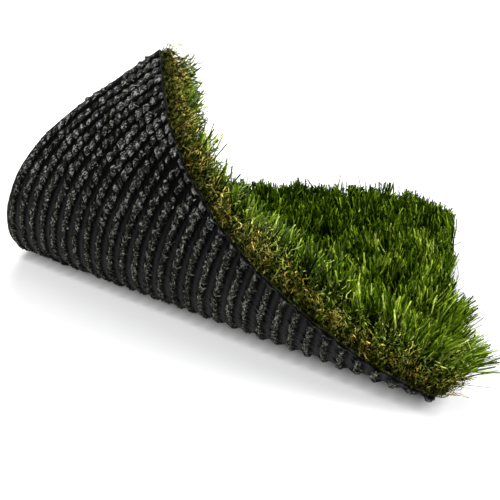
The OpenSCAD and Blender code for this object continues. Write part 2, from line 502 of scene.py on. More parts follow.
# %% Black woven cloth
THREAD_DARK, THREAD_LIGHT = (0.004, 0.004, 0.004), (0.020, 0.020, 0.020)
END_GREEN, END_STRAW = (0.020, 0.032, 0.003), (0.085, 0.070, 0.018)
black_cloth, tree, shader, where = new_material("black woven cloth")
flat_map = tree.nodes.new("ShaderNodeTexCoord").outputs["UV"]
threads = []
for direction in ("X", "Y"):
    wave = tree.nodes.new("ShaderNodeTexWave")
    wave.bands_direction = direction
    feed(tree, wave, Scale=60, Vector=flat_map)
    threads.append(wave.outputs["Fac"])
weave = add_math(tree, "MAXIMUM", *threads)
grain = use_group(tree, fine_grain, Place=where, Scale=900, Mottle=0.8)
shade = add_mix(tree, weave, THREAD_DARK, THREAD_LIGHT)
yarn_ends = product(tree, above(tree, add_noise(tree, where, 800, 2), 0.53), attribute(tree, "cut"))
end_color = add_mix(tree, above(tree, add_noise(tree, where, 330, 1), 0.58), END_GREEN, END_STRAW)
shade = add_mix(tree, yarn_ends, shade, end_color)
shade = add_mix(tree, 1.0, shade, grain.outputs["Mottle"], "MULTIPLY")
feed(tree, shader, Base_Color=shade, Roughness=0.75, Specular_IOR_Level=0.12)
add_bump(tree, shader, add_math(tree, "ADD", weave, grain.outputs["Height"]), 0.5, 0.0004)
hand_in(backing_sheet, black_cloth, "backing")
print("black woven cloth:", len(tree.nodes), "nodes")

# %% [markdown]
# ## The stitched and coated back
#
# On the real back every tuft is held by a back stitch, so each row is a string of short
# lumps of yarn, and black latex is spread over all of it. Between the rows the coat is
# smooth. Near the fold the rows are slim and even. Towards the raised corner they are
# fuller and pebbly, as the photograph shows.
#
# A fine grid is the underside. Its columns are gathered on the rows, where the shape
# changes, and its vertices are pulled down by the height of the lumps, which a Displace
# modifier could do only by one pattern for the whole sheet. The hidden upper side needs no
# such detail, so it is a coarse grid, and four bridges close the sides.

# %% Two grids for the coat
COLUMNS, CUTS = 8, 5  # columns of the fine grid to a row, and its cuts to a stitch
ACROSS, ALONG = ROWS * COLUMNS, STITCHES * CUTS
latex_coat = sheet_grid("latex_coat", ACROSS, ALONG, 0)
turn_to("EDIT")
bpy.ops.mesh.select_all(action="SELECT")
bpy.ops.mesh.flip_normals()
coat_top = sheet_grid("coat_top", ROWS * 2, STITCHES, COAT)
select_only(latex_coat)
coat_top.select_set(True)
bpy.ops.object.join()
print("coat grids:", len(latex_coat.data.vertices), "vertices")


# %% Closing the coat's sides
def level_edges(axis, edge_at):
    """Rule that picks the level edges on one side of the two grids."""
    points = vertices_of(latex_coat)
    on_side = np.abs(points[:, axis] - edge_at) < 1e-6

    def chosen(edge):
        a, b = edge.vertices
        return on_side[a] and on_side[b] and abs(points[a, 2] - points[b, 2]) < 1e-6

    return chosen


for axis, far_side in ((0, corner.x), (1, corner.y)):
    for edge_at in (far_side, far_side - SHEET):
        pick(latex_coat, level_edges(axis, edge_at), "EDGE")
        bpy.ops.mesh.bridge_edge_loops()
        turn_to("OBJECT")
turn_to("EDIT")
bpy.ops.mesh.select_all(action="SELECT")
bpy.ops.mesh.remove_doubles(threshold=1e-6)
bpy.ops.mesh.normals_make_consistent(inside=False)
bpy.ops.mesh.select_mode(type="EDGE")
bpy.ops.mesh.select_all(action="DESELECT")
bpy.ops.mesh.select_non_manifold()
turn_to("OBJECT")
print("coat closed; open edges left:", sum(e.select for e in latex_coat.data.edges))

# %% A shape for each stitch
chance = np.random.default_rng(11)
EACH = (ROWS, STITCHES + 2)
stitch_tall = chance.uniform(0.42, 1.0, EACH)
stitch_wide = chance.uniform(0.76, 1.14, EACH)
stitch_aside = chance.uniform(-0.0005, 0.0005, EACH)
stitch_lean = chance.uniform(-0.10, 0.32, EACH)
row_start = chance.uniform(0, STITCH, ROWS)
print("back stitches with a shape of their own:", stitch_tall.size)

# %% Rows and the gaps between them
FULL_FROM, FULL_OVER = 0.065, 0.085  # where past the fold the rows swell, and over what length
SLIM, SWELL = 0.92, 0.68  # a slim row's half width as a share, and what a full one adds
BREAK = 1.04  # where a row ends and the gap begins, as a share of its half width
# Columns of one row, as shares of its half width, the first in the middle of the gap.
COLUMN_SHARES = np.array([-9, -BREAK, -0.86, -0.5, 0, 0.5, 0.86, BREAK])


def eased(x):
    """0 below 0 and 1 above 1, with a soft start and end."""
    x = np.clip(x, 0, 1)
    return x * x * (3 - 2 * x)


def fullness(u, v):
    """0 where the rows are slim, by the fold, to 1 where they are full, up the curl."""
    return eased((beyond_fold(u, v) - FULL_FROM) / FULL_OVER)


def row_half(u, v):
    return ROW_WIDTH / 2 * (SLIM + SWELL * fullness(u, v))


def gathered(u, v):
    """Moves a column of the even grid to its place on a row or in a gap."""
    number = np.round(u / SHEET * ACROSS).astype(int)
    row, column = np.divmod(np.clip(number, 0, ACROSS - 1), COLUMNS)
    middle = FIRST_ROW + row * GAUGE
    on_row = middle + COLUMN_SHARES[column] * row_half(u, v)
    moved = np.clip(np.where(column == 0, middle - GAUGE / 2, on_row), CUT_IN, SHEET - CUT_IN)
    return np.where(number == 0, 0, np.where(number == ACROSS, SHEET, moved))


print("slim and full row, metres wide:", ROW_WIDTH * SLIM, ROW_WIDTH * (SLIM + SWELL))


# %% Relief of the lumps
def stitch_of(u, v):
    """A place's row, its stitch in that row, and the share of the stitch's length there."""
    row = np.clip(np.round((u - FIRST_ROW) / GAUGE), 0, ROWS - 1).astype(int)
    at = (v + row_start[row]) / STITCH
    number = np.clip(np.floor(at), 0, STITCHES + 1).astype(int)
    return row, number, at - number


def row_relief(u, v):
    """Height of the coated stitches, from 0 on the plain coat to about 1 on a lump."""
    row, number, t = stitch_of(u, v)
    full = fullness(u, v)
    half = row_half(u, v) * stitch_wide[row, number]
    x = u - FIRST_ROW - row * GAUGE - stitch_aside[row, number] * (1 + full)
    x = x + stitch_lean[row, number] * (t - 0.5) * STITCH
    across = np.clip(1 - (x / half) ** 2, 0, 1) ** 0.6
    # A slim row dips a little from stitch to stitch, and a full one almost to the coat.
    rise = np.sin(np.pi * np.clip(t, 0, 1)) ** 0.7
    lump = 0.58 + 0.42 * rise - 0.58 * full * (1 - rise)
    # Crumbs of latex, and the turns of the yarn under it.
    knobs = np.sin(u * 2300 + 3 * np.sin(v * 700)) * np.sin(v * 2050 + 2 * np.sin(u * 900))
    strand = 0.12 * np.sin(2 * np.pi * (t * 2.5 + x / 0.0016)) + 0.16 * knobs
    return np.clip(across * (lump * stitch_tall[row, number] + strand), 0, 1)


def row_height(u, v):
    """The lumps stand a little prouder where they are full, since nothing presses on them."""
    return ROW_HEIGHT * (1 + 0.55 * fullness(u, v))


# %% Pulling the lumps out of the coat
u, v, h = flat_uvh(vertices_of(latex_coat))
under = h < COAT / 2
waves = 0.00005 * np.sin(u * 900) * np.sin(v * 700 + u * 400)
moved_u = np.where(under, gathered(u, v), u)
relief = np.where(under, row_relief(moved_u, v), 0)
h = np.where(under, -relief * row_height(moved_u, v) + waves * (1 - relief), h)
moved_u, moved_v = with_cut_edges(moved_u, v)
move_vertices(latex_coat, curled(flat_points(moved_u, moved_v, h)))

at_cut = edge_distance(u, v) < AT_EDGE
from_row = np.abs(moved_u - FIRST_ROW - stitch_of(moved_u, v)[0] * GAUGE)
write_on(latex_coat.data, "lump", relief)
# How far into the gap between rows a place is, read by the material for the painted shade beside the rows.
write_on(latex_coat.data, "gap", ramp(from_row / row_half(moved_u, v), BREAK, 0.5))
write_on(latex_coat.data, "rim", at_cut & ~under)
write_on(latex_coat.data, "arris", at_cut & under)
write_on(latex_coat.data, "full", fullness(moved_u, v))
smooth(latex_coat, 60)
print("latex coat:", triangles(latex_coat), "triangles")

# %% [markdown]
# ## The finish of the coat
#
# Latex over yarn is nearly black and dull. On the crests, broken patches of painted highlight
# stand in for the sheen of the latex, black between them, lighter and more of them where the
# rows are full. They are short and run slantwise over a lump, so the noise behind them is
# turned and drawn out by a Mapping node.
# Here and there bare fibres show through in grey green. Along the cut the lower arris is
# frayed to grey, and the rim above it is black. The attributes that the last cell wrote
# tell the material where each of these is.

# %% Fibres, and patches of painted highlight on the latex
# Smooth coat: charcoal by slim rows, and black where rows are full, partly more latex and partly painted
# shade in the deep creases. Beside each row it is painted black as shade.
COAT_SLIM, COAT_FULL, ROW_FOOT_PAINTED_SHADE = (0.021, 0.020, 0.021), (0.002,) * 3, (0.0012,) * 3
# The crest colours are painted highlights; CREST_SHADED is the black between their patches.
CREST_HIGHLIGHT_SLIM, CREST_HIGHLIGHT_FULL, CREST_SHADED = (0.115, 0.115, 0.103), (0.490, 0.490, 0.485), (0.002,) * 3
BARE_FIBRE, RIM, FRAYED = (0.270, 0.275, 0.245), (0.002,) * 3, (0.07, 0.07, 0.072)
black_latex, tree, shader, where = new_material("black latex over yarn")
grain = use_group(tree, fine_grain, Place=where, Scale=1400, Mottle=0.9)
raised, full = attribute(tree, "lump"), attribute(tree, "full")
slanted = tree.nodes.new("ShaderNodeMapping")
slanted.vector_type = "TEXTURE"
slanted.inputs["Rotation"].default_value = (0, math.radians(-45), 0)
slanted.inputs["Scale"].default_value = (2.6, 1.6, 0.9)
feed(tree, slanted, Vector=where)
fibres = add_noise(tree, slanted.outputs["Vector"], 1000, 3, 0.7)
flecks = add_noise(tree, where, 1500, 2, 0.6)
# Where the crests show patches of painted highlight.
painted_highlight_patches = stretched(tree, add_noise(tree, where, 330, 2, 0.6), 0.8, product(tree, fibres, 1.2))
painted_highlight_patches = held_between(tree, stretched(tree, painted_highlight_patches, 10, -10.4), 0.05, 1)

# %% Black latex over yarn
plain = add_mix(tree, full, COAT_SLIM, COAT_FULL)
# Painted shade beside each row, fading out towards the middle of the gap.
shade = add_mix(tree, attribute(tree, "gap"), ROW_FOOT_PAINTED_SHADE, plain)
# The crests of the lumps get patches of painted highlight.
painted_crest_highlight = add_mix(tree, painted_highlight_patches, CREST_SHADED, add_mix(tree, full, CREST_HIGHLIGHT_SLIM, CREST_HIGHLIGHT_FULL))
shade = add_mix(tree, stretched(tree, raised, 3.2, -0.9), shade, painted_crest_highlight)
showing = product(tree, above(tree, fibres, 0.57), above(tree, flecks, 0.46))
showing = product(tree, showing, stretched(tree, raised, 2.4, -0.7))
shade = add_mix(tree, showing, shade, BARE_FIBRE)
shade = add_mix(tree, attribute(tree, "rim"), shade, RIM)
arris = add_math(tree, "POWER", attribute(tree, "arris"), 5)
shade = add_mix(tree, product(tree, arris, above(tree, flecks, 0.47)), shade, FRAYED)
shade = add_mix(tree, 1.0, shade, grain.outputs["Mottle"], "MULTIPLY")
dull = stretched(tree, fibres, 0.3, 0.26)
feed(tree, shader, Base_Color=shade, Roughness=dull, Specular_IOR_Level=0.012)
bumps = add_math(tree, "ADD", grain.outputs["Height"], product(tree, fibres, raised))
add_bump(tree, shader, bumps, 0.8, 0.0010)
hand_in(latex_coat, black_latex, "coated_stitches")
print("black latex over yarn:", len(tree.nodes), "nodes")

# %% [markdown]
# ## Strands of yarn: one blade, one fibre
#
# The pile has two kinds of yarn. The blades are slim ribbons with a raised rib, cut blunt
# and broad at the top, and their thin foot is hidden in the pile. The thatch between them
# is thin curly fibre. Each is modelled once: a three-sided cone is cut across by bisects,
# its rings are widened or narrowed, and it is pressed flat. It stands one unit tall, and
# has only a few dozen triangles, because thousands of copies follow. Blades inside the
# pile and short fibres get patterns with fewer rings, since less of their bend shows.

# %% Cutting rings and shaping them
def cut_across(piece, heights):
    for height in heights:
        pick(piece, lambda f: True, "FACE")
        bpy.ops.mesh.bisect(plane_co=(0, 0, height), plane_no=(0, 0, 1))
        turn_to("OBJECT")


def widen_ring(piece, height, share):
    pick(piece, lambda p: abs(p.co.z - height) < 1e-4)
    bpy.ops.transform.resize(value=(share, share, 1), center_override=(0, 0, height))
    turn_to("OBJECT")


def press_flat(piece, share):
    pick(piece, lambda p: True)
    bpy.ops.transform.resize(value=(1, share, 1), center_override=(0, 0, 0))
    turn_to("OBJECT")


def three_sided(name, root_radius, rings, share):
    """Strand one unit tall with rings at (height, width); a root radius of 0 makes a point."""
    clear_selection()
    bpy.ops.mesh.primitive_cone_add(
        vertices=3, radius1=root_radius, radius2=1, depth=1, location=(0, 0, 0.5), end_fill_type="NGON"
    )
    piece = named(name)
    finish_transforms(piece)
    cut_across(piece, [height for height, _ in rings if 0 < height < 1])
    for height, width in rings:
        radius = root_radius + height * (1 - root_radius)
        widen_ring(piece, height, width / radius)
    press_flat(piece, share)
    select_only(piece)
    piece.modifiers.new("triangles", "TRIANGULATE")
    bpy.ops.object.modifier_apply(modifier="triangles")
    print(name, "has", triangles(piece), "triangles")
    return piece


# %% The patterns
RIBBON, ROUND = 0.25, 0.8  # how flat a ribbon and a fibre are pressed


def slimming(steps):
    """Rings of a fibre that keeps its width for long and slims at the tip."""
    return [(k / steps, 1 - 0.4 * (k / steps) ** 4) for k in range(steps + 1)]


blade = three_sided("one blade", 0, [(0.3, 1.0), (0.7, 1.0), (1, 0.85)], RIBBON)
inner_blade = three_sided("one inner blade", 0, [(0.62, 1.0), (1, 0.85)], RIBBON)
fibre = three_sided("one fibre", 0.9, slimming(8), ROUND)
low_fibre = three_sided("one low fibre", 0.9, slimming(6), ROUND)
bent_fibre = three_sided("one short fibre", 0.9, [(0, 0.7), (0.5, 1.0), (1, 0.6)], ROUND)


# %% [markdown]
# ## Laying strands along curves
#
# Every strand follows a curve of its own, worked out on the flat sheet. For each copy the
# pattern's vertices are set out along that curve, turned to face their own way, and the
# copies are joined into one mesh, as an array modifier on a curve would do it one by one.
# Two attributes go with each vertex: *tone*, the strand's own shade, to which painted light
# and shade are added for the blades and the thatch, and *along*, how far up the strand it
# is, with a start given as painted light to strands where the pile stands open, so that less
# of the painted shade at the root shows. The materials read them.

# %% Copies joined into one mesh
def mesh_of_copies(name, points, faces, copies, written):
    step = len(points) // copies
    corners = (faces[None, :, :] + (np.arange(copies) * step)[:, None, None]).ravel()
    mesh = bpy.data.meshes.new(name)
    mesh.vertices.add(len(points))
    mesh.vertices.foreach_set("co", points.ravel())
    mesh.loops.add(len(corners))
    mesh.loops.foreach_set("vertex_index", corners)
    mesh.polygons.add(len(corners) // 3)
    mesh.polygons.foreach_set("loop_start", np.arange(0, len(corners), 3))
    for label, values in written.items():
        write_on(mesh, label, values)
    mesh.update(calc_edges=True)
    mesh.validate()
    piece = bpy.data.objects.new(name, mesh)
    bpy.context.scene.collection.objects.link(piece)
    smooth(piece, 75)
    return piece


# %% Copies of a pattern along curves
HALF_SIDE = 0.866  # half a side of a triangle in a circle of radius 1
LOOK = 0.02  # share of a strand's length to either side from which its direction is read


def lay_strands(name, pattern, curve, side_turn, width, thickness, tone, lit=0.0):
    """curve(t) gives the strands' places at shares t of their length: (strands, len(t), 3)."""
    shape = vertices_of(pattern)
    faces = np.array([list(f.vertices) for f in pattern.data.polygons])
    t, n = np.clip(shape[:, 2], 0, 1), len(tone)
    tangent = curve(np.minimum(t + LOOK, 1 + LOOK)) - curve(np.maximum(t - LOOK, -LOOK))
    tangent /= np.linalg.norm(tangent, axis=2, keepdims=True)
    turn = side_turn[0][:, None] + side_turn[1][:, None] * t[None, :]
    side = np.stack([np.cos(turn), np.sin(turn), np.zeros_like(turn)], axis=2)
    side -= (side * tangent).sum(axis=2, keepdims=True) * tangent
    side /= np.linalg.norm(side, axis=2, keepdims=True)
    front = np.cross(tangent, side)
    across = (shape[:, 0] / HALF_SIDE)[None, :, None] * width[:, None, None]
    through = shape[:, 1][None, :, None] * thickness[:, None, None]
    uvh = curve(t) + across * side + through * front
    points = curled(flat_points(*(uvh[..., k].ravel() for k in range(3))))
    # lit moves a strand up its ramp out of the painted root shade: painted light.
    along = t[None, :] + np.broadcast_to(lit, n)[:, None]
    written = {"tone": np.repeat(tone, len(shape)), "along": along.ravel()}
    piece = mesh_of_copies(name, points, faces, n, written)
    print(name, "has", n, "strands and", triangles(piece), "triangles")
    return piece


# %% [markdown]
# ## Yarn showing on the stitch rows
#
# Latex wets the back stitches unevenly, so single strands of olive and straw yarn lie bare
# on the lumps, most of them on the slim rows by the near right corner. They are short
# fibres that run slantwise over a lump, sunk by half their thickness. Painted spots would
# be cheaper, but wouldn't stand off the coat.

# %% Where the bare strands lie
chance = np.random.default_rng(23)
STRANDS = 7500
TRIES = STRANDS * 4
FLAT_PART = -0.012  # this far before the fold line the underside still shows
u0 = FIRST_ROW + chance.integers(0, ROWS, TRIES) * GAUGE
v0 = chance.uniform(0.003, SHEET - 0.003, TRIES)
wanted = np.where(beyond_fold(u0, v0) > FLAT_PART, 1 - 0.7 * fullness(u0, v0), 0.1)
wanted = wanted * (0.45 + 0.55 * np.exp(-v0 / 0.04))
kept = np.flatnonzero(chance.uniform(size=TRIES) < wanted)[:STRANDS]
u0, v0 = u0[kept], v0[kept]
full = fullness(u0, v0)
u0 = u0 + chance.normal(0, 0.0008, len(u0)) * (1 + 0.9 * full)
heading = chance.normal(1.3, 0.55, len(u0)) * chance.choice([-1, 1], len(u0), p=[0.3, 0.7])
length = chance.uniform(0.0016, 0.0038, len(u0))
bow = chance.normal(0, 0.0005, len(u0))
print("bare strands:", len(u0), "mean length:", round(length.mean(), 4))

# %% Bare strands on the rows
INSIDE = 0.0006  # a strand stays this far inside the cut
FLOOR_GAP = 0.00035  # and this far above the floor where the sheet lies on it


def over_a_lump(t):
    t = t[None, :]
    step = (t - 0.5) * length[:, None]
    swing = bow[:, None] * np.sin(np.pi * t)
    u = u0[:, None] + step * np.cos(heading)[:, None] - swing * np.sin(heading)[:, None]
    v = v0[:, None] + step * np.sin(heading)[:, None] + swing * np.cos(heading)[:, None]
    u, v = np.clip(u, INSIDE, SHEET - INSIDE), np.clip(v, INSIDE, SHEET - INSIDE)
    h = -row_relief(u, v) * row_height(u, v) - 0.00005 + 0.0003 * (2 * t - 1) ** 2
    resting = beyond_fold(u, v) < -FLAT_PART
    return np.stack([u, v, np.where(resting, np.maximum(h, FLOOR_GAP - ROW_HEIGHT), h)], axis=2)


near_corner = np.clip(1 - beyond_fold(u0, v0) / 0.11, 0, 1) + np.exp(-v0 / 0.012)
strand_tone = chance.uniform(0, 1, len(u0)) ** (1.2 + 2 * full)
strand_tone = strand_tone + 0.3 * near_corner * chance.uniform(size=len(u0))
stitch_yarn = lay_strands(
    "stitch_yarn", bent_fibre, over_a_lump, (heading + np.pi / 2, np.zeros(len(u0))),
    width=chance.uniform(0.00032, 0.00056, len(u0)), thickness=np.full(len(u0), 0.0003),
    tone=np.clip(strand_tone, 0, 1),
)
bare_yarn = yarn_material(
    "bare stitch yarn", dark=(0.006, 0.006, 0.006), middle=(0.070, 0.075, 0.058),
    light=(0.33, 0.35, 0.27), foot=0, root=0.75, tip=1.1, broken=0.4, rib=900,
)
hand_in(stitch_yarn, bare_yarn, "coated_stitches")

# %% [markdown]
# ## How the pile stands
#
# The blades are 41 mm long before they lean, with slow waves in their length, so that the
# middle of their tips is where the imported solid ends. They are a little lower at the cut
# edges and much lower at the far right corner, and they lean out past the edges, most of
# all at the right edge by the near corner. Along the near edge, where the sheet rises,
# they are combed up the curl, and on the raised part they lean further out past the cut.
# Inside the curl they are pressed together.

# %% Rules of the pile
def near_edge(distance, band):
    """1 at an edge, and down to 0 at the inner side of a band along it."""
    return np.clip(1 - distance / band, 0, None) ** 2


def on_raised_part(u, v):
    """0 up to 80 mm past the fold line, and 1 from 150 mm on."""
    return ramp(beyond_fold(u, v), 0.08, 0.07)


def pile_lean(u, v):
    """How far the tips lean in u and v, for roots at (u, v)."""
    high = on_raised_part(u, v)
    right = (0.040 * (1 - v / SHEET) ** 3 - 0.005) * near_edge(u, 0.040)
    left, far = 0.004 * near_edge(SHEET - u, 0.040), 0.007 * near_edge(SHEET - v, 0.040)
    near = 0.004 * near_edge(v, 0.040) + 0.008 * high * near_edge(v, 0.060)
    combed = 0.018 * eased((beyond_fold(u, v) + 0.02) / 0.085) + 0.011 * high
    combed = combed * np.exp(-v / 0.06) * (1 - 0.6 * near_edge(SHEET - u, 0.060))
    return left - right + combed * (1 - near_edge(u, 0.040)), far - near


def pile_tall(u, v):
    """How tall the pile is for roots at (u, v), before it leans."""
    waves = np.sin(2 * np.pi * (u + 0.4 * v) / 0.074) + np.sin(2 * np.pi * (v - 0.3 * u) / 0.047)
    far_corner = near_edge(u, 0.075) * near_edge(SHEET - v, 0.075)
    falls = sum(near_edge(x, 0.022) for x in (u, SHEET - u, v))
    tall = (PILE + 0.0008 * waves) * (1 - 0.45 * far_corner) * (1 - 0.10 * on_raised_part(u, v))
    return tall - 0.004 * falls


# %% Pile pressed together inside the curl
FEELS = 0.016  # the pile feels a bend this far to either side
ROOM = 0.72  # share of a bend's radius that the pile inside it may fill
GIVES = 4  # how sharply it gives way there


def pressed(height, d):
    """Height of the pile where a bend leaves it less room, at a distance d past the fold."""
    ahead, behind = bend_rate(d + FEELS), bend_rate(np.maximum(d - FEELS, 0))
    bend = (behind + 2 * bend_rate(np.maximum(d, 0)) + ahead) / 4
    bend = np.maximum(bend * np.clip((d + FEELS) / (2 * FEELS), 0, 1), 0.1)
    return (height ** -GIVES + (ROOM / bend) ** -GIVES) ** (-1 / GIVES)


print("pile free and in the first bend, metres:", PILE, round(float(pressed(PILE, 0.010)), 3))

# %% Tufts
chance = np.random.default_rng(29)
TUFT_LEAN = chance.normal(0, 0.0050, (2, ROWS, STITCHES))
TUFT_TALL = chance.normal(1, 0.07, (ROWS, STITCHES))
TUFT_TONE = chance.normal(0, 0.20, (ROWS, STITCHES))
ROOT_INSIDE = 0.0008  # a root stays this far inside the cut


def tuft_roots(chance, count):
    """Tufts along the stitch rows for so many strands, and their roots."""
    row, number = chance.integers(0, ROWS, count), chance.integers(0, STITCHES, count)
    u = FIRST_ROW + row * GAUGE + chance.normal(0, 0.0007, count)
    v = (number + 0.5) * STITCH + chance.normal(0, 0.0009, count)
    u, v = (np.clip(x, ROOT_INSIDE, SHEET - ROOT_INSIDE) for x in (u, v))
    return (row, number), u, v


print("tufts:", TUFT_TALL.size)


# %% [markdown]
# ## The blades
#
# Each tuft is cut from a bundle of ribbons in several greens, and a designer mixes them so
# that the pile looks alive. Three mixes are laid, from deep to bright, each as one piece.
# A blade starts in its tuft, rises, and bows outwards: it leans with the pile, and by a
# chance amount of its own. A hair system could grow them, but each has to end up as a mesh.
# Blades are fewest at the near edge, where thatch shows, and thinner and more crowded at
# the right edge.

# %% Where the blades stand
def blade_roots(chance, count):
    tuft, u, v = tuft_roots(chance, count * 3)
    hidden = 0.55 + 0.45 * np.exp(-edge_distance(u, v) / 0.020)
    bared = 1 - (0.9 - 0.5 * on_raised_part(u, v)) * np.exp(-v / 0.009)
    crowded = 1 + 0.45 * np.exp(-u / 0.015)
    kept = np.flatnonzero(chance.uniform(size=len(u)) < hidden * bared * crowded)[:count]
    return (tuft[0][kept], tuft[1][kept]), u[kept], v[kept]


# %% How a blade rises
def blade_bends(chance, tuft, u, v, tallness, spread, strays):
    """Root, bow and tip of each blade, and which blades stray above the rest."""
    n, (lean_u, lean_v) = len(u), pile_lean(u, v)
    steady = 1 - 0.5 * np.exp(-u / 0.015) * ramp(v, 0, 0.15)
    fan_u = (TUFT_LEAN[0][tuft] + chance.normal(0, spread, n)) * steady
    fan_v = TUFT_LEAN[1][tuft] + chance.normal(0, spread, n)
    stray = chance.uniform(size=n) < strays
    uneven = np.exp(-v / 0.012)
    tallness = tallness - 0.08 * uneven + chance.normal(0, 1, n) * (0.05 + 0.08 * uneven)
    tall = pile_tall(u, v) * np.clip(tallness * TUFT_TALL[tuft], 0.6, 1.12) * np.where(stray, 1.12, 1)
    out_u = lean_u * chance.uniform(0.75, 1.2, n) + fan_u
    out_v = lean_v * chance.uniform(0.7, 1.3, n) + fan_v
    drop = (out_u**2 + out_v**2) / (2 * tall)
    top = FACE + pressed(np.maximum(tall - drop, 0.5 * tall), beyond_fold(u, v))
    root = np.stack([u, v, np.full(n, FACE - SUNK)], axis=1)
    tip = np.stack([u + out_u, v + out_v, top], axis=1)
    bow = np.stack([u + 0.18 * out_u, v + 0.18 * out_v, FACE + 0.70 * (top - FACE)], axis=1)
    bow[:, :2] += chance.normal(0, 0.0046, (n, 2))
    return (root, bow, tip), stray


# %% How light a blade is, with painted light and shade
def blade_tone_and_painted_light(chance, tuft, u, v):
    """A blade's own shade, at random, with painted light at the right edge and painted shade far back and
    inside the fold.
    """
    tone = chance.uniform(0, 1, len(u)) + TUFT_TONE[tuft]
    # Painted shade far back, and painted light at the right edge.
    tone = tone - 0.80 * np.clip(v / SHEET - 0.22, 0, 1) + 0.15 * np.exp(-u / 0.02)
    # Painted shade inside the fold.
    fold_painted_shade = ramp(v, 0.04, 0.02) * ramp(beyond_fold(u, v), -0.03, 0.03)
    return np.clip(tone - 0.2 * fold_painted_shade, 0, 1)


def painted_light_where_open(u, v):
    """Painted light: how much of the painted shade at the root a blade is spared, at the right edge, past
    the fold where the pile opens and on the raised part.
    """
    opening_painted_light = np.exp(-(((v - 0.020) / 0.011) ** 2)) * ramp(beyond_fold(u, v), 0, 0.02)
    return 0.34 * np.exp(-u / 0.014) + 0.28 * opening_painted_light + 0.15 * on_raised_part(u, v)


# %% Laying the blades
OUTER_BAND = 0.022  # blades this near to a cut edge show their whole length


def lay_blades(name, seed, count, tallness, spread, half_width, strays):
    chance = np.random.default_rng(seed)
    tuft, u, v = blade_roots(chance, count)
    n, edge = len(u), edge_distance(u, v)
    bends, stray = blade_bends(chance, tuft, u, v, tallness, spread, strays)
    width = half_width * chance.uniform(0.7, 1.25, n) * np.where(stray, 0.7, 1)
    width = width * (1 - 0.28 * np.exp(-u / 0.02))
    facing = np.array([chance.uniform(0, 2 * np.pi, n), chance.normal(0, 1.2, n)])
    tone, lit = blade_tone_and_painted_light(chance, tuft, u, v), painted_light_where_open(u, v)

    def lay(label, pattern, some):
        a, b, c = (point[some, None] for point in bends)

        def rising(t):
            t = t[None, :, None]
            return (1 - t) ** 2 * a + 2 * t * (1 - t) * b + t**2 * c

        wide = width[some]
        return lay_strands(label, pattern, rising, facing[:, some], wide, wide, tone[some], lit[some])

    outer = lay(name, blade, edge < OUTER_BAND)
    inner = lay(name + "_inner", inner_blade, edge >= OUTER_BAND)
    select_only(outer)
    inner.select_set(True)
    bpy.ops.object.join()
    print(name, "has", n, "blades and", triangles(outer), "triangles")
    return outer


# %% Blades in three greens, the brightest ones the tallest and slimmest
# The brightness of root and tip is painted: shade at the root of each blade and a highlight at its tip.
RIBBONS = [  # finish, its dark, middle and light, brightness of root and tip
    ("deep green ribbon", (0.004, 0.012, 0.001), (0.018, 0.043, 0.001), (0.060, 0.115, 0.004), 0.09, 1.55),
    ("mid green ribbon", (0.017, 0.040, 0.001), (0.062, 0.115, 0.003), (0.18, 0.25, 0.020), 0.08, 1.65),
    ("bright green ribbon", (0.08, 0.14, 0.004), (0.22, 0.33, 0.014), (0.45, 0.53, 0.100), 0.06, 1.65),
]
BLADES = [  # name, seed, count, tallness, spread, half width, share of strays
    ("blades_deep", 31, 11500, 0.97, 0.0032, 0.00062, 0.01),
    ("blades_mid", 32, 13000, 0.99, 0.0034, 0.00056, 0.02),
    ("blades_bright", 33, 9500, 1.0, 0.0036, 0.00050, 0.02),
]
for (finish, dark, middle, light, root, tip), blades in zip(RIBBONS, BLADES):
    ribbon = yarn_material(finish, dark, middle, light, 0.64, root, tip, broken=0.5, rib=500)
    hand_in(lay_blades(*blades), ribbon, "pile")

# %% [markdown]
# ## The thatch
#
# Between the blades grows curly fibre in straw, olive and green, a third to two thirds as
# tall, which holds them up and hides the cloth. It shows most along the cut edges, where
# the knife has bared it, and some of it hangs over the near edge of the cloth. Each fibre
# climbs in loose curls of its own, with a small crimp from side to side.

# %% Where the thatch stands
def thatch_roots(chance, count, edge_share, near_band):
    """Roots of the fibres, most of them in a band along the near edge."""
    tuft, u, v = tuft_roots(chance, count * 50)
    other_edges = np.minimum(np.minimum(u, SHEET - u), SHEET - v)
    wanted = 0.015 + edge_share * np.exp(-other_edges / 0.008) + 0.95 * np.exp(-v / near_band)
    wanted = wanted * (0.55 + 2.2 * np.clip(TUFT_TONE[tuft], 0, 1))
    kept = np.flatnonzero(chance.uniform(size=len(u)) < wanted)[:count]
    return u[kept], v[kept]


# %% How a fibre climbs
HANG_BAND = 0.0045  # fibres rooted this near to the cut may hang over it
HANG_OUT = 0.0010  # how far outside the cut they hang


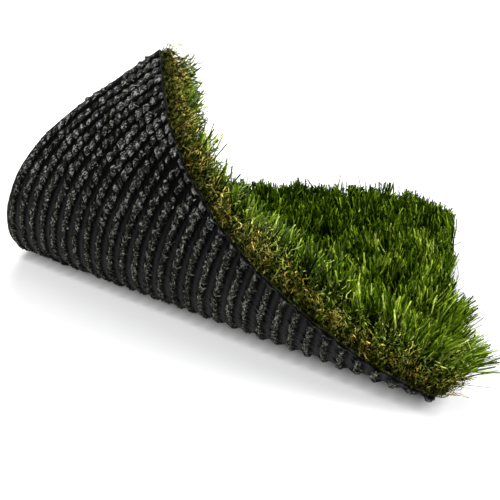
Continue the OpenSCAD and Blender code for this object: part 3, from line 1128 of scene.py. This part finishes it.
def fibre_curve(chance, u, v, height, bends):
    """The fibres' curve: loose curls, a hook at the top and a crimp from side to side."""
    u, v, n = u[:, None], v[:, None], (len(u), 1)
    tall = height * chance.uniform(0.45, 1.2, n) * (1 - 0.6 * near_edge(SHEET - u, 0.030))
    tall, (lean_u, lean_v) = pressed(tall, beyond_fold(u, v)), pile_lean(u, v)
    out_u = 0.4 * lean_u + chance.normal(0, 0.004, n)
    out_v = 0.5 * lean_v + chance.normal(-0.001, 0.003, n)
    curl_u, curl_v = chance.uniform(0.0008, 0.0026, n), chance.uniform(0.0008, 0.0026, n)
    turns_u, turns_v = chance.uniform(0.7, 1.8, n), chance.uniform(0.7, 1.8, n)
    start_u, start_v = chance.uniform(0, 6.28, n), chance.uniform(0, 6.28, n)
    hook = chance.uniform(0.0, 0.45, n)
    hangs = np.where(v < HANG_BAND, chance.uniform(-0.3, 1.6, n), 0).clip(0, 1)
    hang_to = FACE - chance.uniform(0, 0.0026, n)
    crimp_u, crimp_v = chance.normal(0, 0.0011, n), chance.normal(0, 0.0011, n)

    def climbing(t):
        t = t[None, :]
        a, b = 2 * np.pi * turns_u * t, 2 * np.pi * turns_v * t
        zigzag = 1 - np.cos(bends * np.pi * t)
        x = u + out_u * t + curl_u * (np.sin(a + start_u) - np.sin(start_u))
        y = v + out_v * t + curl_v * (np.sin(b + start_v) - np.sin(start_v))
        z = FACE - SUNK + tall * (t - hook * np.clip(t, 0, 1) ** 3)
        droop = hangs * np.sin(np.pi * np.clip(t / 0.4, 0, 1))
        y, z = y - (v + HANG_OUT) * droop, z + (hang_to - z) * droop**2
        return np.stack([x + crimp_u * zigzag, y + crimp_v * zigzag, z], axis=2)

    return climbing


# %% Laying the thatch
def lay_thatch(name, seed, pattern, bends, count, height, half_width, edge_share, near_band):
    chance = np.random.default_rng(seed)
    u, v = thatch_roots(chance, count, edge_share, near_band)
    n = len(u)
    climbing = fibre_curve(chance, u, v, height, bends)
    width = half_width * chance.uniform(0.7, 1.3, n)
    # Painted light: thatch past the fold grows lighter up the curl.
    tone = chance.uniform(0, 1, n) + 0.22 * ramp(beyond_fold(u, v), 0, 0.15)
    facing = (chance.uniform(0, 6.28, n), chance.normal(0, 1, n))
    return lay_strands(name, pattern, climbing, facing, width, width * 0.6, np.clip(tone, 0, 1))


# %% Thatch in straw, olive and green, from short to tall
# The brightness of root and tip is painted: shade at the root of each fibre and a highlight at its tip.
CURLY_YARNS = [  # finish, its dark, middle and light, brightness of root and tip
    ("straw thatch", (0.12, 0.09, 0.008), (0.44, 0.34, 0.045), (0.86, 0.70, 0.19), 0.22, 1.4),
    ("olive thatch", (0.008, 0.012, 0.002), (0.05, 0.085, 0.005), (0.24, 0.31, 0.05), 0.14, 1.35),
    ("curly green thatch", (0.018, 0.042, 0.002), (0.12, 0.20, 0.008), (0.48, 0.56, 0.12), 0.10, 1.45),
]
THATCH = [  # name, seed, pattern, bends, count, height, half width, share at the edges, near band
    ("thatch_straw", 41, low_fibre, 6, 2100, 0.016, 0.00026, 0.05, 0.005),
    ("thatch_olive", 42, low_fibre, 6, 1500, 0.022, 0.00030, 0.16, 0.008),
    ("thatch_green", 43, fibre, 8, 3700, 0.029, 0.00030, 0.05, 0.009),
]
for (finish, dark, middle, light, root, tip), thatch in zip(CURLY_YARNS, THATCH):
    curly = yarn_material(finish, dark, middle, light, 0, root, tip, broken=1.1, rib=800)
    hand_in(lay_thatch(*thatch), curly, "pile")

# %% Clearing the bench
for pattern in (blade, inner_blade, fibre, low_fibre, bent_fibre):
    bpy.data.objects.remove(pattern)

# %% [markdown]
# ## Floor, light and camera
#
# The floor is pale and plain, with a soft grey shadow close to the sheet, and fades to white
# a little way off, as in a studio photograph. The white is a glow that only the camera and
# reflections see, so it puts no light on the object. The glow is dimmer near the middle of
# the floor, a painted shadow, and ambient occlusion darkens it where something stands close
# above it, a painted contact shadow; the lamps add the real shadow. Broad soft lamps stand on
# the left, above, on the right and behind, and the world fills in a little. The camera's
# place, low and a little to the right, was worked out from the outline of the sheet in the
# photograph.

# %% Seen directly
def seen_directly(tree):
    """1 for rays of the camera, of reflections and through glass, and 0 for the rest."""
    rays = tree.nodes.new("ShaderNodeLightPath")
    seen = add_math(tree, "MAXIMUM", rays.outputs["Is Camera Ray"], rays.outputs["Is Glossy Ray"])
    return add_math(tree, "MAXIMUM", seen, rays.outputs["Is Transmission Ray"])


# %% Floor
# The glow is a painted shadow near the middle of the floor: dim until SHADED_UNTIL, white from WHITE_FROM.
SHADED_UNTIL, WHITE_FROM = 0.15, 0.65  # distances from the middle of the floor
SHADED_GLOW, WHITE_GLOW = 0.57, 0.98
clear_selection()
bpy.ops.mesh.primitive_plane_add(size=12, location=(0, 0, 0))
floor = named("floor")
floor_paint, tree, shader, where = new_material("pale floor")
feed(tree, shader, Base_Color=(0.55, 0.55, 0.56), Roughness=0.9, Specular_IOR_Level=0.1)
distance = tree.nodes.new("ShaderNodeVectorMath")
distance.operation = "LENGTH"
tree.links.new(where, distance.inputs[0])
fade = tree.nodes.new("ShaderNodeMapRange")
feed(
    tree, fade, Value=distance.outputs["Value"], From_Min=SHADED_UNTIL, From_Max=WHITE_FROM,
    To_Min=SHADED_GLOW, To_Max=WHITE_GLOW,
)
floor.data.materials.append(floor_paint)

# %% The floor's glow
CLOSE = 0.009  # how far above the floor something still darkens it
# Ambient occlusion dims the glow into a painted contact shadow.
shelter = tree.nodes.new("ShaderNodeAmbientOcclusion")
shelter.samples = 8
feed(tree, shelter, Distance=CLOSE)
glow = product(tree, fade.outputs["Result"], add_math(tree, "POWER", shelter.outputs["AO"], 1.1))
white = tree.nodes.new("ShaderNodeEmission")
feed(tree, white, Strength=product(tree, glow, seen_directly(tree)))
both = tree.nodes.new("ShaderNodeAddShader")
tree.links.new(shader.outputs["BSDF"], both.inputs[0])
tree.links.new(white.outputs["Emission"], both.inputs[1])
feed(tree, tree.nodes["Material Output"], Surface=both.outputs["Shader"])
print("pale floor:", len(tree.nodes), "nodes")

# %% World
FILL = 0.09
world = bpy.data.worlds.new("studio")
bpy.context.scene.world = world
world.use_nodes = True
tree = world.node_tree
sky = tree.nodes["Background"]
feed(tree, sky, Color=(1, 1, 1), Strength=stretched(tree, seen_directly(tree), 1 - FILL, FILL))
print("the world fills in with", FILL, "of its light")

# %% Lamps
AIM_AT = type(corner)((0, 0, 0.04))  # a little above the middle of the sheet
LAMPS = [  # name, place, width, power
    ("left lamp", (-1.30, -0.70, 0.60), 0.7, 14),
    ("top lamp", (0.10, -0.40, 1.60), 1.6, 12),
    ("back lamp", (-0.35, 1.30, 0.95), 1.0, 24),
    ("right lamp", (1.15, -0.85, 0.85), 0.8, 21),
]
for name, stands_at, width, power in LAMPS:
    clear_selection()
    bpy.ops.object.light_add(type="AREA", location=stands_at)
    lamp = bpy.context.object
    lamp.name = name
    lamp.data.shape, lamp.data.size, lamp.data.energy = "DISK", width, power
    lamp.rotation_euler = (AIM_AT - lamp.location).to_track_quat("-Z", "Y").to_euler()
    print(name, "of", power, "watts")

# %% Camera
VIEW_LINE = type(corner)((-0.17385597, 0.94338946, -0.282472))
clear_selection()
bpy.ops.object.camera_add(location=(corner.x + 0.01484, corner.y - 0.87440, 0.25565))
camera = bpy.context.object
camera.name = "camera"
camera.rotation_euler = VIEW_LINE.to_track_quat("-Z", "Y").to_euler()
camera.data.lens, camera.data.sensor_width = 90.464, 36
bpy.context.scene.camera = camera
bpy.context.scene.view_settings.view_transform = "Standard"
print("camera at", tuple(round(x, 3) for x in camera.location))
